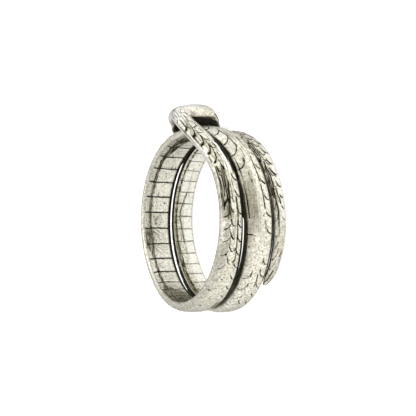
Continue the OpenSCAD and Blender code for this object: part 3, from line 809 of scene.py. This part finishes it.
# A thin film of sulphide is brown, a thick one black, and painted shade takes the same colours
thin_dark_share = node(tree, "MapRange", {"Value": black, 1: 0.03, 2: 0.7, 3: 0.0, 4: 1.0})
thick_dark_share = node(tree, "MapRange", {"Value": black, 1: 0.5, 2: 0.95, 3: 0.0, 4: 1.0})
film_mix = node(tree, "Mix", {0: thin_dark_share, 6: skin_mix.outputs[2], 7: THIN_SULPHIDE_AND_SHADE}, data_type="RGBA")
crust_mix = node(tree, "Mix", {0: thick_dark_share, 6: film_mix.outputs[2], 7: THICK_SULPHIDE_AND_SHADE}, data_type="RGBA")
# Sulphide is a matt crust and no metal; the rubbed silver under it has a soft gloss
metal = node(tree, "MapRange", {"Value": black, 1: 0.5, 2: 0.95, 3: 1.0, 4: 0.1})
gloss = node(tree, "MapRange", {"Value": black, 1: 0.0, 2: 1.0, 3: 0.24, 4: 0.6})
rough = node(tree, "Math", {0: skin_grain, 1: 0.12, 2: gloss}, operation="MULTIPLY_ADD")
# Heights of the grain, the rubbing marks and the cuts, in units of 0.08 mm
bump_mm = 0.08
grain_height = node(tree, "Math", {0: skin_grain, 1: 0.9}, operation="MULTIPLY")
marks_height = node(tree, "Math", {0: rub_marks, 1: 0.8, 2: grain_height}, operation="MULTIPLY_ADD")
relief = node(tree, "Math", {0: cuts, 1: -1.2, 2: marks_height}, operation="MULTIPLY_ADD")
bumps = node(tree, "Bump", {"Strength": 1.0, "Distance": bump_mm / 1000, "Height": relief})
shader = node(tree, "BsdfPrincipled", {
    "Base Color": crust_mix.outputs[2], "Metallic": metal, "Roughness": rough,
    "Specular IOR Level": 0.15, "Specular Tint": hex_linear("#9A99A3"), "Normal": bumps})
node(tree, "OutputMaterial", {"Surface": shader})
casting_mesh.materials.append(silver)
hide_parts("snake_ring")
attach(casting, "root")

# The eyes.
# Each is a small bead of the same silver, left proud of its socket when the casting was cut, with a
# slit for its pupil. The casting holds both, so they are fixed and never come off.
# A ball of radius 1, in rings from just under its upper pole to just over its lower one
bead_rings, bead_around, pole_gap = 26, 40, 0.06
around_angle = np.linspace(0, 2 * math.pi, bead_around, endpoint=False)[None, :]
down_angle = np.linspace(pole_gap, math.pi - pole_gap, bead_rings)[:, None]
unit_bead = np.stack([
    np.sin(down_angle) * np.cos(around_angle), np.sin(down_angle) * np.sin(around_angle),
    np.cos(down_angle) * np.ones_like(around_angle)], axis=-1)
slit_width, slit_depth, slit_dark = 0.13, 0.14, 1.5
eye_r_metres = eye_d / 2000
eye_turn = np.array(neck_turn - eye_share * head_reach)


def eye_bead(name, side):
    """A bead about the eye's middle, of radius r (1 - depth s), where s = exp(-(a / width)^2) is the
    slit and a the sine of the angle off the upright plane through the eye's way outwards."""
    out = side * eye_out * at(eye_turn, WIDTH) / 2
    middle = on_snake(eye_turn, out, eye_up * at(eye_turn, HEIGHT))
    ahead = on_snake(eye_turn - 1, out, eye_up * at(eye_turn, HEIGHT)) - middle
    ahead /= np.linalg.norm(ahead)
    slit = np.exp(-((unit_bead @ ahead) / slit_width) ** 2)
    bead = middle + unit_bead * eye_r_metres * (1 - slit_depth * slit)[..., None]
    ends = middle + np.array([[0, 0, 1], [0, 0, -1]]) * eye_r_metres
    mesh = skin_mesh(name, bead, ends)
    carry(mesh, "patina_and_shade", slit_dark * slit)
    mesh.materials.append(silver)
    piece = put(name, mesh)
    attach(piece, "root")


eye_bead("left_eye", 1)
eye_bead("right_eye", -1)

# The table and the light.
# A plain pale table under a large white tent. The tent is open where the camera looks in, and the
# dark of the room in that opening gives the metal its grey.
table_mesh = bpy.data.meshes.new("table")
half_metres = 0.6
table_corners = half_metres * np.array([(-1, -1, 0), (1, -1, 0), (1, 1, 0), (-1, 1, 0)])
table_mesh.from_pydata(table_corners.tolist(), [], [(0, 1, 2, 3)])
table = put("table", table_mesh)
# Matt white paper. It glows a little by itself, as paper looks that is lit far brighter than the ring
paper = bpy.data.materials.new("white_paper")
paper.use_nodes = True
paper_shader = paper.node_tree.nodes["Principled BSDF"]
paper_shader.inputs["Base Color"].default_value = hex_linear("#E8E8E6")
paper_shader.inputs["Roughness"].default_value = 0.9
paper_shader.inputs["Emission Color"].default_value = hex_linear("#FFFFFF")
paper_shader.inputs["Emission Strength"].default_value = 0.56
table_mesh.materials.append(paper)

# The photograph looks at the finger hole this far from its axis, from 280 mm away; its middle is a
# little off the hole's, and it covers 416 pixels of 1 / 9.296 mm
view_angle = math.radians(64.262)
view_distance = 280.0
pixels_per_mm, picture_pixels = 9.296, 416
aside, below = 0.338, 1.153
towards = np.array([math.sin(view_angle), 0, math.cos(view_angle)])
rightwards = np.array([math.cos(view_angle), 0, -math.sin(view_angle)])
upwards = np.array([0, 1.0, 0])
hole_centre = laid(np.zeros(3))
camera_right = laid(rightwards) - hole_centre
camera_up = laid(upwards) - hole_centre
camera_back = laid(towards) - hole_centre
camera_data = bpy.data.cameras.new("camera")
camera_data.sensor_width = 36
camera_data.lens = camera_data.sensor_width * pixels_per_mm * view_distance / picture_pixels
camera_data.clip_start = 0.01
camera = put("camera", camera_data)
camera_turn = 1000 * np.column_stack([camera_right, camera_up, camera_back])
camera_pose = np.eye(4)
camera_pose[:3, :3] = camera_turn
camera_pose[:3, 3] = laid(view_distance * towards - aside * rightwards + below * upwards)
camera.matrix_world = camera_pose.T.tolist()
bpy.context.scene.camera = camera

world = bpy.data.worlds.new("tent")
bpy.context.scene.world = world
world.use_nodes = True
tree = world.node_tree
tree.nodes.clear()
opening = (1000 * camera_back).tolist()
# How near a way is to the opening, from -1 behind the ring to 1 at the camera, and its glow there
tent_glow = ((-0.95, 0.8), (-0.55, 0.92), (0.45, 0.9), (0.86, 0.66), (0.97, 0.36))
way = node(tree, "TexCoord", {}).outputs["Generated"]
nearness = node(tree, "VectorMath", {0: way, 1: opening}, operation="DOT_PRODUCT").outputs["Value"]
share_near = node(tree, "MapRange", {"Value": nearness, 1: -1.0, 2: 1.0, 3: 0.0, 4: 1.0})
tent = node(tree, "ValToRGB", {"Fac": share_near})
# A new ramp has two of its elements already
for _ in tent_glow[2:]:
    tent.color_ramp.elements.new(0.5)
for element, (near_opening, glow) in zip(tent.color_ramp.elements, tent_glow):
    element.position = (near_opening + 1) / 2
    element.color = (glow, glow, glow, 1)
background = node(tree, "Background", {"Color": tent, "Strength": 1.12})
node(tree, "OutputWorld", {"Surface": background})


def softbox(name, power, size, offset):
    """A square white light of that size, at an offset from the ring given in metres to the camera's
    right, up and back, and turned to face the ring."""
    data = bpy.data.lights.new(name, "AREA")
    data.energy = power
    data.size = size
    stands_at = camera_turn @ np.array(offset)
    back = stands_at / np.linalg.norm(stands_at)
    nearly_up = [0, 1, 0.01]
    side_way = np.cross(nearly_up, back)
    side_way /= np.linalg.norm(side_way)
    pose = np.eye(4)
    pose[:3, :3] = np.column_stack([side_way, np.cross(back, side_way), back])
    pose[:3, 3] = stands_at
    put(name, data).matrix_world = pose.T.tolist()


softbox("top_softbox", 0.4, 0.25, (0.05, 0.35, 0.2))
softbox("left_softbox", 0.7, 0.25, (-0.3, 0.15, 0.25))
bpy.context.scene.view_settings.view_transform = "Standard"
